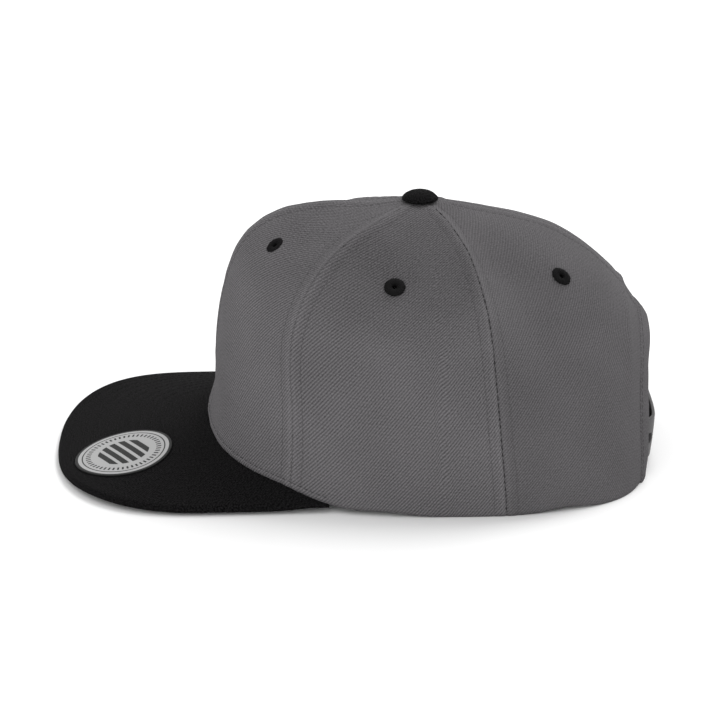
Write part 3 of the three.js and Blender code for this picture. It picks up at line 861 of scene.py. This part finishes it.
bm = bmesh.new()
around = len(band_section)
bmesh.ops.create_grid(bm, x_segments=around, y_segments=BAND["steps"], size=1)
cut = bm.loops.layers.uv.new("cut")
flat = {}
for vertex in bm.verts:
    column = round((vertex.co.x + 1) / 2 * around)
    row = round((vertex.co.y + 1) / 2 * BAND["steps"])
    inward, out = band_section[column % around]
    turn = math.pi * row / BAND["steps"]
    vertex.co, _ = band_point(turn, inward, out * ARCH["proud"])
    flat[vertex] = (turn * BAND["bend"], inward * ARCH["band"])
for face in bm.faces:
    for loop in face.loops:
        loop[cut].uv = flat[loop.vert]
bmesh.ops.remove_doubles(bm, verts=bm.verts[:], dist=1e-6)
bmesh.ops.holes_fill(bm, edges=[edge for edge in bm.edges if edge.is_boundary], sides=0)
bmesh.ops.recalc_face_normals(bm, faces=bm.faces[:])
band_twill = twill_finish(
    "band_twill", grey(44), grey(118), rib=0.00100, slant=40, bold=0.12, depth=0.00012
)
piece = finished("arch_band", bm, band_twill)
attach(piece, "root")
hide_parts("arch_binding")

bm = bmesh.new()
for inward in BAND["rows"]:
    path = []
    for n in range(161):
        turn = mix(BAND["row_end"], math.pi - BAND["row_end"], n / 160)
        path.append(band_point(turn, inward, BAND["row_height"] * ARCH["proud"]))
    stitch_row(bm, path, radius=BAND["stitch_radius"])
piece = finished("band_stitching", bm, seam_thread)
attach(piece, "root")

# The snap straps
# Two moulded plastic straps, sewn inside the band at the sides of the arch. The left one has
# round holes and lies outside; the pegs of the right one are pressed through them.
STRAP = dict(
    thickness=0.0016, height=0.020, bottom=0.0020, anchor=0.048, free=0.015, bend_outer=0.037,
    bend_inner=0.021, outer=0.0014, inner=-0.0005, anchor_offset=-0.0037, end_radius=0.007,
    pitch=0.009, peg=0.0021, hole=0.0026, proud=0.0008, slice=0.0015, edge=0.0004,
)


def beside_rim(x, z, offset):
    """A point at an offset from the back wall's line, and the outward direction there."""

    def rim_y(at):
        share = 1 - (abs(at) / RIM["half_width"]) ** RIM["rear_power"]
        return RIM["centre_y"] + RIM["rear"] * share ** (1 / RIM["rear_power"])

    slope = (rim_y(x + 0.001) - rim_y(x - 0.001)) / 0.002
    length = math.hypot(1, slope)
    turned = math.degrees(math.asin((abs(x) / RIM["half_width"]) ** (RIM["rear_power"] / 2)))
    power = meridian(180 - turned, "power")
    rise = z / TOP["height"]
    reach = (1 - rise**power) ** (1 / power) * (1 + meridian(180 - turned, "lean") * rise)
    outwards = Vector((-slope / length, 1 / length, 0))
    return Vector((x, rim_y(x) * reach, z)) + outwards * offset, outwards


def strap_offset(x, clear):
    bend = (abs(x) - STRAP["bend_inner"]) / (STRAP["bend_outer"] - STRAP["bend_inner"])
    return mix(clear, STRAP["anchor_offset"], smooth(bend))


def strap_blank(hole_places):
    """A flat strap in X and Z with round holes and soft edges, from its sewn end to its free end."""
    bm = bmesh.new()
    top, bottom = STRAP["bottom"] + STRAP["height"], STRAP["bottom"]
    radius, free = STRAP["end_radius"], -STRAP["free"]
    outline = [(STRAP["anchor"], bottom), (STRAP["anchor"], top)]
    for n in range(9):
        turn = math.pi / 2 * (1 + n / 8)
        outline.append((free + radius + radius * math.cos(turn), top - radius + radius * math.sin(turn)))
    for n in range(9):
        turn = math.pi * (1 + n / 16)
        outline.append((free + radius + radius * math.cos(turn), bottom + radius + radius * math.sin(turn)))
    points = [bm.verts.new((x, 0, z)) for x, z in outline]
    edges = [bm.edges.new(pair) for pair in zip(points, points[1:] + points[:1])]
    middle = bottom + STRAP["height"] / 2
    for x in hole_places:
        matrix = Matrix.Translation((x, 0, middle)) @ Matrix.Rotation(math.pi / 2, 4, "X")
        ring = bmesh.ops.create_circle(bm, segments=28, radius=STRAP["hole"], matrix=matrix)
        edges += list({edge for vertex in ring["verts"] for edge in vertex.link_edges})
    bmesh.ops.triangle_fill(bm, edges=edges, use_beauty=True, normal=(0, 1, 0))
    rims = [edge for edge in bm.edges if edge.is_boundary]
    made = bmesh.ops.extrude_face_region(bm, geom=bm.faces[:])
    moved = [item for item in made["geom"] if isinstance(item, bmesh.types.BMVert)]
    bmesh.ops.translate(bm, verts=moved, vec=(0, -STRAP["thickness"], 0))
    sharp = [edge for edge in bm.edges if len(edge.link_faces) == 2 and edge.calc_face_angle() > 1.2]
    bmesh.ops.bevel(
        bm, geom=sharp, offset=STRAP["edge"], segments=2, profile=0.5, affect="EDGES", material=-1
    )
    x = -STRAP["free"]
    while x < STRAP["anchor"]:
        x += STRAP["slice"]
        everything = bm.verts[:] + bm.edges[:] + bm.faces[:]
        bmesh.ops.bisect_plane(bm, geom=everything, plane_co=(x, 0, 0), plane_no=(1, 0, 0))
    return bm


def bend_strap(bm, clear):
    """Lays a flat strap along the back of the crown."""
    for vertex in bm.verts:
        x, out, z = vertex.co
        vertex.co, _ = beside_rim(x, z, strap_offset(x, clear) + out)


def plastic_finish(name, tone):
    finish, shader = new_finish(name, 0.42, specular=0.3)
    place = Shade.start(finish.node_tree, "ShaderNodeTexCoord", {}, {}, 3)
    grain = place.noise(1500, 3)
    scuff = place.noise(120, 4)
    feed(shader, "Base Color", (grain * 0.3 + scuff * 0.7).blend(grey(tone * 0.9), grey(tone * 1.12)))
    feed(shader, "Roughness", scuff * 0.25 + 0.3)
    raise_surface(shader, grain, 0.00006)
    return finish


strap_plastic = plastic_finish("strap_plastic", 56)
bm = strap_blank([n * STRAP["pitch"] for n in range(-1, 4)])
bend_strap(bm, STRAP["outer"])
bmesh.ops.recalc_face_normals(bm, faces=bm.faces[:])
piece = finished("snap_strap_left", bm, strap_plastic, False)
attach(piece, "root")
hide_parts("strap_left")

bm = strap_blank([])
bend_strap(bm, STRAP["inner"])
bmesh.ops.scale(bm, verts=bm.verts[:], vec=(-1, 1, 1))
bmesh.ops.recalc_face_normals(bm, faces=bm.faces[:])
peg_profile = [(0.0, 0.0), (1.0, 0.0), (1.0, 0.72), (0.9, 0.9), (0.62, 0.985), (0.0, 1.0)]
tall = STRAP["thickness"] / 2 + STRAP["outer"] - STRAP["inner"] + STRAP["proud"]
middle_z = STRAP["bottom"] + STRAP["height"] / 2
for n in range(-3, 2):
    x = n * STRAP["pitch"]
    face = strap_offset(x, STRAP["inner"])
    root, outwards = beside_rim(x, middle_z, face - STRAP["thickness"] / 2)
    turned = Vector((0, 0, 1)).rotation_difference(outwards).to_matrix().to_4x4()
    peg = bmesh.new()
    points = [peg.verts.new((share * STRAP["peg"], 0, rise * tall)) for share, rise in peg_profile]
    outline = [peg.edges.new(pair) for pair in zip(points, points[1:])]
    bmesh.ops.spin(
        peg, geom=points + outline, cent=(0, 0, 0), axis=(0, 0, 1), angle=math.tau, steps=28, use_merge=True
    )
    bmesh.ops.remove_doubles(peg, verts=peg.verts[:], dist=1e-6)
    bmesh.ops.recalc_face_normals(peg, faces=peg.faces[:])
    bmesh.ops.transform(peg, verts=peg.verts[:], matrix=Matrix.Translation(root) @ turned)
    loose = bpy.data.meshes.new("peg")
    peg.to_mesh(loose)
    peg.free()
    bm.from_mesh(loose)
    bpy.data.meshes.remove(loose)
piece = finished("snap_strap_right", bm, strap_plastic, False)
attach(piece, "root")
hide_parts("strap_right")

# The sticker
# A round label of brushed silver foil on card, stuck on the near side of the bill. It is
# printed in dark grey with a plain design: a rim line, a ring of ticks and a barred disc.
STICKER = dict(radius=0.022, thickness=0.0005, x=0.0315, y=-0.135, slant=31)
PRINT = dict(
    rim=0.94, line=0.84, line_end=0.865, ticks=0.68, ticks_end=0.78, tick_count=48, tick_gap=0.62,
    bars=5, bars_end=0.53, bar_gap=0.30,
)
sticker_profile = [
    (0.0, 0), (0.3, 0), (0.6, 0), (0.85, 0), (1.0, 0), (1.0, 0.7), (0.992, 1),
    (0.85, 1), (0.6, 1), (0.3, 1), (0.0, 1),
]
bm = bmesh.new()
points = [
    bm.verts.new((share * STICKER["radius"], 0, rise * STICKER["thickness"]))
    for share, rise in sticker_profile
]
outline = [bm.edges.new(pair) for pair in zip(points, points[1:])]
bmesh.ops.spin(
    bm, geom=points + outline, cent=(0, 0, 0), axis=(0, 0, 1), angle=math.tau, steps=96, use_merge=True
)
bmesh.ops.remove_doubles(bm, verts=bm.verts[:], dist=1e-6)
bmesh.ops.recalc_face_normals(bm, faces=bm.faces[:])
print_map = bm.loops.layers.uv.new("print")
for face in bm.faces:
    for loop in face.loops:
        loop[print_map].uv = (loop.vert.co.x / STICKER["radius"], loop.vert.co.y / STICKER["radius"])
for vertex in bm.verts:
    x, y = vertex.co.x + STICKER["x"], vertex.co.y + STICKER["y"]
    vertex.co = (x, y, vertex.co.z + bill_top(x, y) + GAP)


def foil_finish(name):
    finish, shader = new_finish(name, 0.38, metallic=0.6, specular=0.2)
    place = Shade.start(finish.node_tree, "ShaderNodeUVMap", {"uv_map": "print"})
    x, y, _ = place.parts()
    c, s = math.cos(math.radians(STICKER["slant"])), math.sin(math.radians(STICKER["slant"]))
    across = y * c - x * s
    away = (x * x + y * y) ** 0.5
    turn = x.maths("ARCTAN2", y, x) / math.tau
    rim = away > PRINT["rim"]
    line = (away > PRINT["line"]) * (away < PRINT["line_end"])
    ticks = (away > PRINT["ticks"]) * (away < PRINT["ticks_end"])
    ticks = ticks * ((turn * PRINT["tick_count"]).wave() > PRINT["tick_gap"])
    bars = ((across * PRINT["bars"] + 0.25).wave() > PRINT["bar_gap"]) * (away < PRINT["bars_end"])
    ink = rim.maths("MAXIMUM", rim, line)
    ink = ink.maths("MAXIMUM", ink, ticks)
    ink = ink.maths("MAXIMUM", ink, bars)
    brushing = {"Vector": place, "Rotation": (0, 0, 0.4), "Scale": (4, 160, 1)}
    brushed = place.node("ShaderNodeMapping", {}, brushing).noise(3, 3)
    foil = brushed.blend(grey(146, 1), grey(180, 1))
    feed(shader, "Base Color", ink.blend(foil, grey(22, 1)))
    feed(shader, "Metallic", (1 - ink) * 0.6)
    feed(shader, "Roughness", ink * 0.15 + brushed * 0.2 + 0.28)
    raise_surface(shader, brushed, 0.00003)
    return finish


piece = finished("foil_sticker", bm, foil_finish("silver_foil"), False)
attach(piece, "root")
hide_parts("bill_sticker")

# The studio
# A plain white floor under a white sky, a soft lamp high behind the cap and a weaker one on the
# camera's side, and a long lens at the photograph's angle, a little above the cap.
CAMERA = dict(
    elevation=20.74, azimuth=-2.77, distance=1.250, target_z=0.055,
    aim_right=-0.0269, aim_up=-0.0134, lens=136.1,
)

bm = bmesh.new()
bmesh.ops.create_grid(bm, x_segments=1, y_segments=1, size=4)
mesh = bpy.data.meshes.new("floor")
bm.to_mesh(mesh)
bm.free()
floor = bpy.data.objects.new("floor", mesh)
bpy.context.scene.collection.objects.link(floor)
floor_paint, floor_shader = new_finish("floor_paint", 0.9, specular=0.1)
floor_place = Shade.start(floor_paint.node_tree, "ShaderNodeTexCoord", {}, {}, 3)
feed(floor_shader, "Base Color", floor_place.noise(3).blend((0.81, 0.81, 0.81, 1), (0.83, 0.83, 0.83, 1)))
mesh.materials.append(floor_paint)

world = bpy.data.worlds.new("studio")
world.use_nodes = True
world.node_tree.nodes["Background"].inputs["Color"].default_value = (1, 1, 1, 1)
world.node_tree.nodes["Background"].inputs["Strength"].default_value = 1.02
bpy.context.scene.world = world
bpy.context.scene.view_settings.view_transform = "Standard"

LAMPS = [
    dict(name="key", place=(-0.65, 0.50, 1.25), size=0.8, power=13),
    dict(name="front", place=(1.5, -0.7, 0.5), size=1.2, power=4),
]
for row in LAMPS:
    light = bpy.data.lights.new(row["name"], "AREA")
    light.shape = "DISK"
    light.size = row["size"]
    light.energy = row["power"]
    lamp = bpy.data.objects.new(row["name"], light)
    lamp.location = row["place"]
    lamp.rotation_mode = "QUATERNION"
    lamp.rotation_quaternion = (Vector((0, 0, 0.05)) - lamp.location).to_track_quat("-Z", "Y")
    bpy.context.scene.collection.objects.link(lamp)

elevation, azimuth = math.radians(CAMERA["elevation"]), math.radians(CAMERA["azimuth"])
backwards = Vector((
    math.cos(elevation) * math.cos(azimuth), math.cos(elevation) * math.sin(azimuth), math.sin(elevation),
))
rightwards = Vector((-math.sin(azimuth), math.cos(azimuth), 0))
upwards = backwards.cross(rightwards)
target = Vector((0, axis_y, CAMERA["target_z"]))
aim = target + rightwards * CAMERA["aim_right"] + upwards * CAMERA["aim_up"]
camera_data = bpy.data.cameras.new("camera")
camera_data.lens = CAMERA["lens"]
camera_data.sensor_width = 36
camera = bpy.data.objects.new("camera", camera_data)
camera.location = target + backwards * CAMERA["distance"]
camera.rotation_mode = "QUATERNION"
camera.rotation_quaternion = (aim - camera.location).to_track_quat("-Z", "Y")
bpy.context.scene.collection.objects.link(camera)
bpy.context.scene.camera = camera

bpy.context.view_layer.update()
